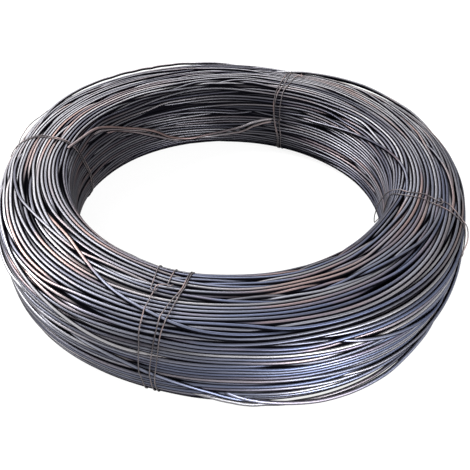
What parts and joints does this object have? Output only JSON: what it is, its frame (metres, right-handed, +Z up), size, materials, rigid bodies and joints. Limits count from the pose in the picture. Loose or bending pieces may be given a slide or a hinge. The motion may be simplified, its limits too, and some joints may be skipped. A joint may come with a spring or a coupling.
{
  "type": "coil of wire rod",
  "caption": "Annular coil of steel wire rod lying flat, its turns showing on both ends, held by thin wire ties round the bundle.",
  "frame": {"origin": "on the floor at the middle of the coil", "axes": "+Z up along the coil's axis; -Y is the side that the picture shows in front, with three ties; +X is to the right"},
  "size_m": [0.71, 0.71, 0.1392],
  "materials": {
    "rod_steel": "dark mill scale with a blue tint and light rust in patches",
    "tie_wire": "dull annealed wire, lightly rusted"
  },
  "bodies": {
    "root": {"wire_rod_coil": "rod_steel", "tie_front_1": "tie_wire", "tie_front_2": "tie_wire", "tie_front_3": "tie_wire", "tie_left_1": "tie_wire", "tie_left_2": "tie_wire", "tie_back_1": "tie_wire", "tie_back_2": "tie_wire", "tie_back_3": "tie_wire", "tie_right_1": "tie_wire", "tie_right_2": "tie_wire"}
  },
  "joints": []
}
